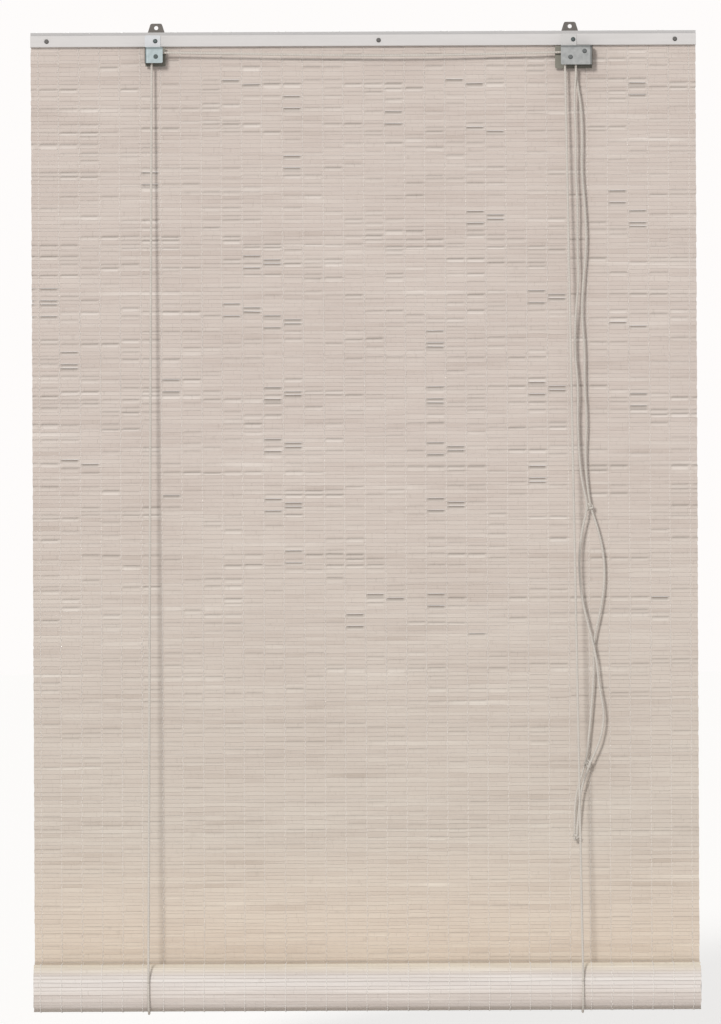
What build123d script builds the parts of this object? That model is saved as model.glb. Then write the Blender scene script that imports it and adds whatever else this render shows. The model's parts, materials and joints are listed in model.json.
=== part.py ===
"""A bamboo roll up blind, hung by two steel ears, with its mat let down and the rest rolled at the bottom.

Millimetres. X runs along the rail to the right, -Y is the room side, Z is up.
The origin lies midway between the two hanging holes, in the middle of the ears' steel.
"""
import os
from math import cos, pi, radians, sin, tan

from build123d import *

os.makedirs("parts", exist_ok=True)

# Sizes of the whole blind
WIDTH = 900.0               # mat and rail, end to end
HOLE_SPACING = 560.0        # between the two hanging holes
DROP = 1290.0               # rail top to the middle of the roll
CLEAR = 0.3                 # between a turning or sliding piece and what it passes

# Head rail: a tall rear lath and a lower front lath, with the mat's top edge between them
REAR_LATH_TALL = 20.0
REAR_LATH_DEEP = 10.0
FRONT_LATH_TALL = 15.5
FRONT_LATH_DEEP = 8.0
LATH_EDGE = 0.9             # rounding of the long edges

# Hanging ears
EAR_STEEL = 1.5
EAR_HOLE_R = 2.75
EAR_HOLE_UP = 6.5           # hole above the rail top
EAR_TALL = 12.5             # ear above the rail top
EAR_FOOT_WIDE = 23.0
EAR_TOP_WIDE = 15.0
EAR_FOOT_TALL = 16.0        # leg of the ear behind the rail
EAR_CORNER = 3.0

# Screws and staples
SHANK_R = 1.5
SHANK_FIT = 0.1             # bore over shank, on the radius
HEAD_R = 3.0
HEAD_TALL = 1.6
HEAD_DOME = 0.6             # share of a screw head's height that is rounded
RAIL_SCREW_LEFT = 22.0      # in from the rail's left end
RAIL_SCREW_MIDDLE = 21.0    # right of the middle
RAIL_SCREW_RIGHT = 28.5     # in from the rail's right end
EAR_SCREW_APART = 14.0
EAR_SCREW_DOWN = 10.0       # below the rail top
EAR_SCREW_LONG = 5.5
SCREW_TIP_GAP = 1.75        # between the tips of the front screws and those of the ear screws
STAPLE_INSET = 48.5         # end staples, in from the rail's ends
STAPLE_COUNT = 12
STAPLE_LONG = 10.0
STAPLE_WIRE = 1.3
STAPLE_PROUD = 0.9          # staple above the wood

# Mat of split bamboo slats on thread columns
SLAT_PITCH = 5.4
SLAT_CREST = 1.8            # thickness in the middle of a slat
SLAT_GROOVE = 0.9           # thickness where two slats meet
MAT_TOP_DOWN = 1.0          # mat's top edge below the front lath's
THREAD_PITCH = 27.5         # nearly: the columns share out the width between the outer two
THREAD_INSET = 10.0         # outer thread columns, in from the mat's sides
SLIT_TALL = 2.2
SLIT_WEB = 5.0              # left beside each thread, both sides together
# Where slits between the slats show: thousandths of the width between the outer threads, from the middle,
# thousandths of the mat's height, from its top edge, then how many cells wide and rows tall each group is
SLIT_SPOTS = (
    (-182, 48, 2, 1), (-112, 62, 1, 2), (152, 48, 2, 1), (426, 49, 1, 2), (33, 78, 1, 2),
    (194, 97, 2, 1), (-343, 141, 1, 2), (-98, 125, 1, 2), (-167, 230, 2, 2), (-491, 264, 1, 4),
    (194, 184, 2, 2), (402, 162, 1, 2), (432, 185, 1, 3), (-183, 280, 2, 2), (270, 267, 2, 2),
    (-114, 294, 2, 2), (401, 304, 2, 1), (101, 310, 1, 3), (-438, 330, 1, 3), (-284, 362, 1, 2),
    (-115, 368, 2, 2), (116, 369, 1, 3), (269, 366, 2, 2), (424, 380, 1, 2), (-115, 426, 2, 2),
    (139, 427, 2, 2), (277, 453, 1, 3), (-445, 446, 2, 1), (-116, 486, 2, 2), (139, 486, 2, 2),
    (-284, 483, 1, 1), (38, 589, 2, 1), (-100, 541, 1, 2), (99, 590, 1, 2), (-24, 608, 1, 2),
    (176, 632, 1, 1), (438, 591, 1, 1),
)

# Roll
ROLL_R = 34.2
ROLL_TURNS = 5
ROD_R = 10.0
ROD_CHAMFER = 1.0

# Pulley bracket and cord lock, folded from one strip each
PLATE = 1.2
FORK_GAP = 17.0
FORK_BEND_R = 2.5           # inside the bend
FORK_DOWN = 21.2            # rail top to the top of both forks
FORK_CORNER = 2.0           # rounding of the plates' free corners
RIVET_R = 1.6
RIVET_HEAD_R = 3.0
RIVET_HEAD_TALL = 1.3
RIVET_DOME = 0.7            # share of a rivet head's height that is rounded
BORE_FIT = 0.05             # wheel bore over rivet, on the radius
STRAP_WIDE = 21.0
PULLEY_FRONT_TALL = 21.5
PULLEY_REAR_TALL = 25.5
PULLEY_AXLE_DOWN = 34.0     # rail top to the wheel's middle
PULLEY_CLOSED = -15.0       # folded side of the bracket, from the wheel's middle
PULLEY_FRONT_OPEN = 9.4     # open side of the front plate
PULLEY_REAR_OPEN = 13.0     # open side of the rear plate
PULLEY_STRAP = -4.5         # middle of the strap
PULLEY_SCREW = -1.0
LOCK_FRONT_TALL = 26.0
LOCK_REAR_TALL = 30.5
LOCK_AXLE_DOWN = 37.0
LOCK_CLOSED = 30.0
LOCK_FRONT_OPEN = -13.0
LOCK_REAR_OPEN = -20.5
LOCK_STRAP = -2.0
LOCK_SCREW = 4.0
CAM_BESIDE = 11.6           # cam's rivet right of the cords that leave the lock
CAM_ABOVE = 8.0             # cam's rivet above the lock wheel's middle
CAM_NOSE_R = 9.2
CAM_HEEL_R = 5.5
CAM_TEETH = 7
CAM_TOOTH = 1.0
CAM_TOOTH_FROM = 145.0      # degrees, anticlockwise from +X as seen from the room
CAM_TOOTH_STEP = 16.0
CAM_HEEL_AT = 35.0          # degrees, the middle of its plain side
PAST = 1.0                  # how far a cut runs past the face that it opens

# Wheels
WHEEL_WIDE = 16.0
PULLEY_CORD_R = 5.7         # wheel's middle to the cord's middle
PULLEY_RIM_R = 7.2
LOCK_CORD_R = 7.4
LOCK_RIM_R = 8.8
LOCK_GROOVES_APART = 5.2
GROOVE_FLARE = 0.2

# Cord
CORD_R = 1.5
CORD_BUTT = 0.1             # between two stretches of one cord where they meet
SLING_RISE = 12.0           # degrees that the cord follows the roll's front above its middle
SLING_LEFT = -14.5          # cord under the roll, from the hanging hole above it
SLING_RIGHT = 10.5
ANCHOR_BESIDE = 26.0        # cord staples behind the rail, outside the hanging holes
ANCHOR_DOWN = 9.0           # rail top to the middle of the cord staple
CORD_STAPLE_WIRE_R = 0.7
CORD_STAPLE_LEG = 6.0
CORD_KNOT_R = 3.0
HANK_KNOT_R = 6.0
END_KNOT_R = 5.0
UPPER_KNOT_AT = 15          # which point of the pull cords' routes each knot is at
LOWER_KNOT_AT = 24
END_KNOT_AT = 27
CROSS_SAG = 5.0             # lowest point of the cross cord below the wheel tops
CROSS_SAG_X = 40.0
CORNER_SHARE = 0.45         # share of a cord's shorter run that a corner's arc takes
CORD_EXIT = 13.5            # lock wheel's middle to the lower end of the cords held in the lock

# Places worked out from the sizes
RAIL_TOP = -EAR_HOLE_UP
RAIL_BOTTOM = RAIL_TOP - REAR_LATH_TALL
FRONT_LATH_TOP = RAIL_BOTTOM + FRONT_LATH_TALL
SCREW_Z = RAIL_BOTTOM + FRONT_LATH_TALL / 2
REAR_BACK_Y = -EAR_STEEL / 2
REAR_FACE_Y = REAR_BACK_Y - REAR_LATH_DEEP
MAT_Y = REAR_FACE_Y - SLAT_CREST / 2
FRONT_BACK_Y = REAR_FACE_Y - SLAT_CREST
FRONT_FACE_Y = FRONT_BACK_Y - FRONT_LATH_DEEP
STRAP_FACE_Y = FRONT_FACE_Y - PLATE
WHEEL_Y = STRAP_FACE_Y - FORK_GAP / 2
FORK_FRONT_Y = STRAP_FACE_Y - FORK_GAP - PLATE
FORK_TOP = RAIL_TOP - FORK_DOWN
ROLL_Y = MAT_Y - (ROLL_R - SLAT_CREST / 2)
ROLL_Z = RAIL_TOP - DROP
MAT_TOP = FRONT_LATH_TOP - MAT_TOP_DOWN
MAT_BOTTOM = ROLL_Z + CLEAR
HOLE_X = HOLE_SPACING / 2
ANCHOR_X = HOLE_X + ANCHOR_BESIDE
SLING_LEFT_X = -HOLE_X + SLING_LEFT
SLING_RIGHT_X = HOLE_X + SLING_RIGHT
EXIT_X = HOLE_X + LOCK_CORD_R
PULLEY_Z = RAIL_TOP - PULLEY_AXLE_DOWN
LOCK_Z = RAIL_TOP - LOCK_AXLE_DOWN
CAM_X = EXIT_X + CAM_BESIDE
CAM_Z = LOCK_Z + CAM_ABOVE
LOCK_FRONT_CORD_Y = WHEEL_Y - LOCK_GROOVES_APART / 2
LOCK_REAR_CORD_Y = WHEEL_Y + LOCK_GROOVES_APART / 2
SLING_R = ROLL_R + CLEAR + CORD_R
TURN_STEP = (ROLL_R - SLAT_CREST - ROD_R - CLEAR) / ROLL_TURNS


def save(piece, name):
    """Label a finished piece and write it as its own file."""
    piece.label = name
    export_step(piece, f"parts/{name}.step")


def rounded_bar(length, deep, tall, front_y, top):
    """A painted lath: its section, with all four long edges rounded, carried along X."""
    with BuildPart() as bar:
        with BuildSketch(Plane.YZ):
            with Locations((front_y + deep / 2, top - tall / 2)):
                RectangleRounded(deep, tall, LATH_EDGE)
        extrude(amount=length / 2, both=True)
    return bar.part


def shank_bores(spots, y_from, y_to):
    """Cut bores for screw shanks along Y, between two depths, at (x, z) spots."""
    for x, z in spots:
        with Locations(Location((x, (y_from + y_to) / 2, z), (90, 0, 0))):
            Cylinder(SHANK_R + SHANK_FIT, abs(y_to - y_from), mode=Mode.SUBTRACT)


def pan_screws(spots, seat_y, length, outward):
    """Pan-head screws seated on the plane y = seat_y, heads outward: -1 to the room or 1 to the wall."""
    plane = Plane.XZ.offset(-seat_y)
    with BuildPart() as screws:
        with BuildSketch(plane):
            with Locations(*spots):
                Circle(HEAD_R)
        extrude(amount=-outward * HEAD_TALL)
        rim = screws.edges().group_by(Axis.Y)[0 if outward < 0 else -1]
        fillet(rim, HEAD_TALL * HEAD_DOME)
        with BuildSketch(plane):
            with Locations(*spots):
                Circle(SHANK_R)
        extrude(amount=outward * length)
    return screws.part


# Head rail
rail_spots = [
    (-WIDTH / 2 + RAIL_SCREW_LEFT, SCREW_Z),
    (RAIL_SCREW_MIDDLE, SCREW_Z),
    (WIDTH / 2 - RAIL_SCREW_RIGHT, SCREW_Z),
]
strap_spots = [(-HOLE_X + PULLEY_SCREW, SCREW_Z), (HOLE_X + LOCK_SCREW, SCREW_Z)]
ear_spots = [
    (side * HOLE_X + offset, RAIL_TOP - EAR_SCREW_DOWN)
    for side in (-1, 1)
    for offset in (-EAR_SCREW_APART / 2, EAR_SCREW_APART / 2)
]
SCREW_END_Y = EAR_STEEL / 2 - EAR_SCREW_LONG - SCREW_TIP_GAP
anchor_legs = [
    (side * ANCHOR_X + offset, RAIL_TOP - ANCHOR_DOWN)
    for side in (-1, 1)
    for offset in (-CORD_R - CORD_STAPLE_WIRE_R, CORD_R + CORD_STAPLE_WIRE_R)
]

with BuildPart() as front_lath:
    add(rounded_bar(WIDTH, FRONT_LATH_DEEP, FRONT_LATH_TALL, FRONT_FACE_Y, FRONT_LATH_TOP))
    shank_bores(rail_spots + strap_spots, FRONT_FACE_Y - PAST, FRONT_BACK_Y + PAST)
save(front_lath.part, "front_lath")

with BuildPart() as rear_lath:
    add(rounded_bar(WIDTH, REAR_LATH_DEEP, REAR_LATH_TALL, REAR_FACE_Y, RAIL_TOP))
    shank_bores(rail_spots + strap_spots, REAR_FACE_Y - PAST, SCREW_END_Y)
    shank_bores(ear_spots, REAR_BACK_Y + PAST, REAR_BACK_Y + EAR_STEEL - EAR_SCREW_LONG)
    for x, z in anchor_legs:
        with Locations(Location((x, REAR_BACK_Y - CORD_STAPLE_LEG / 2, z), (90, 0, 0))):
            Cylinder(CORD_STAPLE_WIRE_R + BORE_FIT, CORD_STAPLE_LEG, mode=Mode.SUBTRACT)
save(rear_lath.part, "rear_lath")

save(pan_screws(rail_spots, FRONT_FACE_Y, SCREW_END_Y - FRONT_FACE_Y, -1), "rail_screws")
save(pan_screws(strap_spots, STRAP_FACE_Y, SCREW_END_Y - STRAP_FACE_Y, -1), "strap_screws")
save(pan_screws(ear_spots, EAR_STEEL / 2, EAR_SCREW_LONG, 1), "ear_screws")

with BuildPart() as top_staples:
    with BuildSketch(Plane.XY.offset(RAIL_TOP)):
        with Locations((0, (REAR_FACE_Y + REAR_BACK_Y) / 2)):
            with GridLocations((WIDTH - 2 * STAPLE_INSET) / (STAPLE_COUNT - 1), 1, STAPLE_COUNT, 1):
                SlotOverall(STAPLE_LONG, STAPLE_WIRE)
    extrude(amount=STAPLE_PROUD)
save(top_staples.part, "top_staples")


# Hanging ears
def hanging_ear(x):
    """A steel ear: its leg behind the rail, its tapered head with the hanging hole above it."""
    ear_top = RAIL_TOP + EAR_TALL
    foot = RAIL_TOP - EAR_FOOT_TALL
    with BuildPart() as ear:
        with BuildSketch(Plane.XZ):
            with BuildLine():
                Polyline(
                    (x - EAR_FOOT_WIDE / 2, foot),
                    (x + EAR_FOOT_WIDE / 2, foot),
                    (x + EAR_FOOT_WIDE / 2, RAIL_TOP),
                    (x + EAR_TOP_WIDE / 2, ear_top),
                    (x - EAR_TOP_WIDE / 2, ear_top),
                    (x - EAR_FOOT_WIDE / 2, RAIL_TOP),
                    close=True,
                )
            make_face()
        extrude(amount=EAR_STEEL / 2, both=True)
        fillet(ear.edges().filter_by(Axis.Y).group_by(Axis.Z)[-1], EAR_CORNER)
        fillet(ear.edges().filter_by(Axis.Y).group_by(Axis.Z)[0], EAR_CORNER / 2)
        with Locations(Location((x, 0, 0), (90, 0, 0))):
            Hole(EAR_HOLE_R, depth=EAR_STEEL)
        shank_bores([s for s in ear_spots if abs(s[0] - x) < EAR_FOOT_WIDE], -EAR_STEEL, EAR_STEEL)
    return ear.part


save(hanging_ear(-HOLE_X), "left_ear")
save(hanging_ear(HOLE_X), "right_ear")


# Mat
def slat_profile(centre_at, count):
    """Outline of a strip of slats, thick at each slat's middle and thin where two slats meet.

    centre_at(s, half) gives the point that lies half a thickness off the strip's middle line,
    s slats along it.
    """
    halves = [SLAT_GROOVE / 2 if i % 2 == 0 else SLAT_CREST / 2 for i in range(2 * count + 1)]
    one_side = [centre_at(i / 2, half) for i, half in enumerate(halves)]
    other_side = [centre_at(i / 2, -half) for i, half in enumerate(halves)]
    return one_side + other_side[::-1]


hanging_slats = round((MAT_TOP - MAT_BOTTOM) / SLAT_PITCH)
hanging_pitch = (MAT_TOP - MAT_BOTTOM) / hanging_slats
thread_cells = 2 * round((WIDTH / 2 - THREAD_INSET) / THREAD_PITCH)
thread_pitch = (WIDTH - 2 * THREAD_INSET) / thread_cells


def slit_places():
    """Middle of every slit, on the groove between two slats and between two threads."""
    places = []
    for across, down, cells, rows in SLIT_SPOTS:
        first_cell = round(thread_cells * across / 1000 - cells / 2)
        first_row = round(hanging_slats * down / 1000)
        for cell in range(cells):
            x = (first_cell + cell + 0.5) * thread_pitch
            for row in range(rows):
                groove = first_row + 2 * row + (cell + row) % 2
                places.append((x, MAT_TOP - groove * hanging_pitch))
    return sorted(set(places))


def hanging_point(s, half):
    """Point on the hanging mat, s slats below its top edge, half a thickness off its middle."""
    return MAT_Y + half, MAT_TOP - s * hanging_pitch


with BuildPart() as hanging_mat:
    with BuildSketch(Plane.YZ):
        with BuildLine():
            Polyline(*slat_profile(hanging_point, hanging_slats), close=True)
        make_face()
    extrude(amount=WIDTH / 2, both=True)
    with Locations(*[(x, MAT_Y, z) for x, z in slit_places()]):
        Box(thread_pitch - SLIT_WEB, 2 * SLAT_CREST, SLIT_TALL, mode=Mode.SUBTRACT)
    shank_bores(rail_spots + strap_spots, FRONT_BACK_Y - PAST, REAR_FACE_Y + PAST)
save(hanging_mat.part, "hanging_mat")
print("slits in the hanging mat:", len(slit_places()))


def roll_point(s, half):
    """Point on the roll's spiral, s slats from its outer end, half a thickness out from the middle line.

    The turn angle at arc length a from the outer end solves a = r0*t - step*t*t/(4*pi),
    where r0 is the outer turn's middle radius and step is how far one turn lies inside the next.
    """
    r0 = ROLL_R - SLAT_CREST / 2
    arc = s * roll_pitch
    k = TURN_STEP / (2 * pi)
    t = (r0 - (r0 * r0 - 2 * k * arc) ** 0.5) / k
    r = r0 - k * t + half
    return ROLL_Y + r * cos(t), ROLL_Z - r * sin(t)


roll_length = 2 * pi * ROLL_TURNS * (ROLL_R - SLAT_CREST / 2 - ROLL_TURNS * TURN_STEP / 2)
roll_slats = round(roll_length / SLAT_PITCH)
roll_pitch = roll_length / roll_slats

with BuildPart() as rolled_mat:
    with BuildSketch(Plane.YZ):
        with BuildLine():
            Polyline(*slat_profile(roll_point, roll_slats), close=True)
        make_face()
    extrude(amount=WIDTH / 2, both=True)
save(rolled_mat.part, "rolled_mat")
print(f"mat {MAT_TOP - MAT_BOTTOM:.0f} mm hanging and {roll_length:.0f} mm rolled")

with BuildPart() as bottom_rod:
    with BuildSketch(Plane.YZ):
        with Locations((ROLL_Y, ROLL_Z)):
            Circle(ROD_R)
    extrude(amount=WIDTH / 2, both=True)
    chamfer(bottom_rod.edges().filter_by(GeomType.CIRCLE), ROD_CHAMFER)
save(bottom_rod.part, "bottom_rod")


# Pulley bracket and cord lock
def folded_fork(closed_x, rear_open_x, front_open_x, rear_tall, front_tall, strap_x, axles):
    """A steel strip folded round one side into a fork, open at the other side, the top and the bottom.

    Its rear plate runs up over the front lath as a strap. axles are the (x, z) of the rivets.
    """
    inward = 1 if rear_open_x > closed_x else -1
    past = rear_open_x + inward * PLATE
    corner = FORK_BEND_R + PLATE
    inner_x = closed_x + inward * PLATE
    inner_front_y = FORK_FRONT_Y + PLATE
    with BuildPart() as fork:
        with BuildSketch(Plane.XY.offset(FORK_TOP)):
            with BuildLine():
                FilletPolyline(
                    (past, FRONT_FACE_Y), (closed_x, FRONT_FACE_Y),
                    (closed_x, FORK_FRONT_Y), (past, FORK_FRONT_Y),
                    radius=corner,
                )
                Line((past, FORK_FRONT_Y), (past, FRONT_FACE_Y))
            make_face()
            with BuildLine():
                FilletPolyline(
                    (past, STRAP_FACE_Y), (inner_x, STRAP_FACE_Y),
                    (inner_x, inner_front_y), (past, inner_front_y),
                    radius=FORK_BEND_R,
                )
                Line((past, inner_front_y), (past, STRAP_FACE_Y))
            make_face(mode=Mode.SUBTRACT)
        extrude(amount=-rear_tall)
        # trim the open side of each plate, and the front plate and its bend to their own height
        rear_y = (FRONT_FACE_Y + STRAP_FACE_Y) / 2
        front_y = (FORK_FRONT_Y + inner_front_y) / 2
        for edge_x, y in ((rear_open_x, rear_y), (front_open_x, front_y)):
            with Locations((edge_x + inward * FORK_GAP / 2, y, FORK_TOP - rear_tall / 2)):
                Box(FORK_GAP, 2 * PLATE, rear_tall + 2 * PAST, mode=Mode.SUBTRACT)
        below = rear_tall - front_tall
        front_part = FORK_GAP + PLATE - 2 * CLEAR
        cut_y = FORK_FRONT_Y + front_part / 2 - PAST
        with Locations(((closed_x + past) / 2, cut_y, FORK_TOP - rear_tall + below / 2)):
            Box(abs(past - closed_x) + 2 * PAST, front_part + 2 * PAST, below, mode=Mode.SUBTRACT)
        open_corners = fork.edges().filter_by(Axis.Y).filter_by(
            lambda e: e.center().Z < FORK_TOP - front_tall + CLEAR
            and min(abs(e.center().X - rear_open_x), abs(e.center().X - front_open_x)) < CLEAR
        )
        fillet(open_corners, FORK_CORNER)
        # strap up the front lath
        with BuildSketch(Plane.XZ.offset(-FRONT_FACE_Y)):
            with Locations((strap_x, FORK_TOP)):
                Rectangle(STRAP_WIDE, FRONT_LATH_TOP - FORK_TOP, align=(Align.CENTER, Align.MIN))
        extrude(amount=PLATE)
        top_corners = fork.edges().filter_by(Axis.Y).group_by(Axis.Z)[-1]
        fillet(top_corners, FORK_CORNER)
        own_screw = [s for s in strap_spots if abs(s[0] - strap_x) < STRAP_WIDE]
        shank_bores(own_screw, STRAP_FACE_Y - PAST, FRONT_FACE_Y + PAST)
        for x, z in axles:
            with Locations(Location((x, WHEEL_Y, z), (90, 0, 0))):
                Cylinder(RIVET_R + BORE_FIT, FORK_GAP + 4 * PLATE, mode=Mode.SUBTRACT)
    return fork.part


def fork_rivet(x, z):
    """A rivet through both plates of a fork, with a domed head in front and a flat one behind."""
    with BuildPart() as rivet:
        with BuildSketch(Plane.XZ.offset(-FRONT_FACE_Y)):
            with Locations((x, z)):
                Circle(RIVET_R)
        extrude(amount=FRONT_FACE_Y - FORK_FRONT_Y)
        for seat_y, outward in ((FORK_FRONT_Y, 1), (FRONT_FACE_Y, -1)):
            with BuildSketch(Plane.XZ.offset(-seat_y)):
                with Locations((x, z)):
                    Circle(RIVET_HEAD_R)
            extrude(amount=outward * RIVET_HEAD_TALL)
        fillet(rivet.edges().group_by(Axis.Y)[0], RIVET_HEAD_TALL * RIVET_DOME)
    return rivet.part


def grooved_wheel(x, z, rim_r, cord_r, groove_ys):
    """A wheel turning on a rivet, with a round-bottomed groove for each cord."""
    bore = RIVET_R + BORE_FIT
    half = CORD_R + CLEAR
    left = WHEEL_Y - WHEEL_WIDE / 2
    right = WHEEL_Y + WHEEL_WIDE / 2
    with BuildPart() as wheel:
        with BuildSketch(Plane(origin=(x, 0, z), x_dir=(1, 0, 0), z_dir=(0, 0, 1))):
            with BuildLine():
                Polyline((rim_r, left), (bore, left), (bore, right), (rim_r, right))
                at = left
                for y in sorted(groove_ys):
                    Line((rim_r, at), (rim_r, y - half - GROOVE_FLARE))
                    Line((rim_r, y - half - GROOVE_FLARE), (cord_r, y - half))
                    ThreePointArc((cord_r, y - half), (cord_r - half, y), (cord_r, y + half))
                    Line((cord_r, y + half), (rim_r, y + half + GROOVE_FLARE))
                    at = y + half + GROOVE_FLARE
                Line((rim_r, at), (rim_r, right))
            make_face()
        revolve(axis=Axis((x, 0, z), (0, 1, 0)))
    return wheel.part


pulley_bracket = folded_fork(
    -HOLE_X + PULLEY_CLOSED, -HOLE_X + PULLEY_REAR_OPEN, -HOLE_X + PULLEY_FRONT_OPEN,
    PULLEY_REAR_TALL, PULLEY_FRONT_TALL, -HOLE_X + PULLEY_STRAP, [(-HOLE_X, PULLEY_Z)],
)
lock_housing = folded_fork(
    HOLE_X + LOCK_CLOSED, HOLE_X + LOCK_REAR_OPEN, HOLE_X + LOCK_FRONT_OPEN,
    LOCK_REAR_TALL, LOCK_FRONT_TALL, HOLE_X + LOCK_STRAP, [(HOLE_X, LOCK_Z), (CAM_X, CAM_Z)],
)
save(pulley_bracket, "pulley_bracket")
save(lock_housing, "lock_housing")
save(fork_rivet(-HOLE_X, PULLEY_Z), "pulley_rivet")
save(fork_rivet(HOLE_X, LOCK_Z), "lock_wheel_rivet")
save(fork_rivet(CAM_X, CAM_Z), "cam_rivet")
save(grooved_wheel(-HOLE_X, PULLEY_Z, PULLEY_RIM_R, PULLEY_CORD_R, [WHEEL_Y]), "pulley_wheel")
lock_grooves = [LOCK_FRONT_CORD_Y, LOCK_REAR_CORD_Y]
save(grooved_wheel(HOLE_X, LOCK_Z, LOCK_RIM_R, LOCK_CORD_R, lock_grooves), "lock_wheel")


def polar(radius, angle):
    """A point round the cam's rivet, angle in degrees from +X towards +Z."""
    return CAM_X + radius * cos(radians(angle)), CAM_Z + radius * sin(radians(angle))


with BuildPart() as lock_cam:
    with BuildSketch(Plane.XZ.offset(-WHEEL_Y)):
        with BuildLine():
            teeth = []
            for i in range(CAM_TEETH):
                angle = CAM_TOOTH_FROM + i * CAM_TOOTH_STEP
                tip = CAM_HEEL_R + (CAM_NOSE_R - CAM_HEEL_R) * (i + 2) / (CAM_TEETH + 1)
                teeth += [polar(tip, angle), polar(tip - CAM_TOOTH, angle + CAM_TOOTH_STEP / 2)]
            Polyline(*teeth)
            ThreePointArc(teeth[-1], polar(CAM_HEEL_R, CAM_HEEL_AT), teeth[0])
        make_face()
        with Locations((CAM_X, CAM_Z)):
            Circle(RIVET_R + BORE_FIT, mode=Mode.SUBTRACT)
    extrude(amount=WHEEL_WIDE / 2, both=True)
save(lock_cam.part, "lock_cam")


# Cords
def corner_radii(points):
    """Radius for each corner of a route: a share of its shorter run over the tangent of half its turn."""
    spots = [Vector(*p) for p in points]
    radii = []
    for a, b, c in zip(spots, spots[1:], spots[2:]):
        turn = (b - a).get_angle(c - b)
        shorter = min((b - a).length, (c - b).length)
        radii.append(CORNER_SHARE * shorter / tan(radians(turn) / 2))
    return radii


def cord_along(line, radius=CORD_R):
    """A round cord whose middle follows a line."""
    with BuildPart() as tube:
        with BuildLine():
            add(line)
        with BuildSketch(Plane(origin=line @ 0, z_dir=line % 0)):
            Circle(radius)
        sweep()
    return tube.part


def routed(points, radii):
    """Straight runs through points, joined by tangent arcs."""
    with BuildLine() as route:
        FilletPolyline(*points, radius=radii)
    return route.line


def straight(start, end):
    """A cord pulled straight between two points."""
    with BuildLine() as run:
        Line(start, end)
    return run.line


def sling(x):
    """The cord under the roll, from its front, a little above the middle, to its rear."""
    rise = radians(SLING_RISE)
    low = (pi + rise) / 2 - rise
    with BuildLine() as loop:
        ThreePointArc(
            (x, ROLL_Y - SLING_R * cos(rise), ROLL_Z + SLING_R * sin(rise)),
            (x, ROLL_Y - SLING_R * cos(low), ROLL_Z - SLING_R * sin(low)),
            (x, ROLL_Y + SLING_R, ROLL_Z),
        )
    return loop.line


def lift_cord(x, top):
    """The taut front run of a lift cord, from its wheel down to the cord under the roll."""
    rise = radians(SLING_RISE)
    low = Vector(x, ROLL_Y - SLING_R * cos(rise), ROLL_Z + SLING_R * sin(rise))
    start = Vector(*top)
    along = (start - low).normalized()
    return straight(start - along * CORD_BUTT, low + along * CLEAR)


def rear_cord(side, x):
    """The lift cord behind the mat, from the cord under the roll up to its staple on the rear lath."""
    top = (side * ANCHOR_X, REAR_BACK_Y + CLEAR + CORD_R, RAIL_TOP - ANCHOR_DOWN + CORD_KNOT_R)
    return straight(top, (x, ROLL_Y + SLING_R, ROLL_Z + CLEAR))


pulley_top = (-HOLE_X - PULLEY_CORD_R, WHEEL_Y, PULLEY_Z - CORD_R)
lock_top = (HOLE_X - LOCK_CORD_R, LOCK_FRONT_CORD_Y, LOCK_Z - CORD_R)
save(cord_along(lift_cord(SLING_LEFT_X, pulley_top)), "left_lift_cord")
save(cord_along(lift_cord(SLING_RIGHT_X, lock_top)), "right_lift_cord")
save(cord_along(sling(SLING_LEFT_X)), "left_cord_sling")
save(cord_along(sling(SLING_RIGHT_X)), "right_cord_sling")
save(cord_along(rear_cord(-1, SLING_LEFT_X)), "left_rear_cord")
save(cord_along(rear_cord(1, SLING_RIGHT_X)), "right_rear_cord")

# The cord from the left wheel runs across to the lock wheel's rear groove and leaves the lock downwards
cross_points = [
    pulley_top,
    (-HOLE_X - PULLEY_CORD_R, WHEEL_Y, PULLEY_Z + PULLEY_CORD_R),
    (CROSS_SAG_X, (WHEEL_Y + LOCK_REAR_CORD_Y) / 2, (PULLEY_Z + LOCK_Z) / 2 + PULLEY_CORD_R - CROSS_SAG),
    (EXIT_X, LOCK_REAR_CORD_Y, LOCK_Z + LOCK_CORD_R),
    (EXIT_X, LOCK_REAR_CORD_Y, LOCK_Z - CORD_EXIT),
]
cross_radii = corner_radii(cross_points)
cross_radii[0] = PULLEY_CORD_R
cross_radii[-1] = LOCK_CORD_R
save(cord_along(routed(cross_points, cross_radii)), "cross_cord")

with BuildLine() as over_lock_wheel:
    Line(lock_top, (HOLE_X - LOCK_CORD_R, LOCK_FRONT_CORD_Y, LOCK_Z))
    ThreePointArc(
        (HOLE_X - LOCK_CORD_R, LOCK_FRONT_CORD_Y, LOCK_Z),
        (HOLE_X, LOCK_FRONT_CORD_Y, LOCK_Z + LOCK_CORD_R),
        (EXIT_X, LOCK_FRONT_CORD_Y, LOCK_Z),
    )
    Line(
        (EXIT_X, LOCK_FRONT_CORD_Y, LOCK_Z),
        (EXIT_X, LOCK_FRONT_CORD_Y, LOCK_Z - CORD_EXIT),
    )
save(cord_along(over_lock_wheel.line), "lock_cord")

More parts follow.
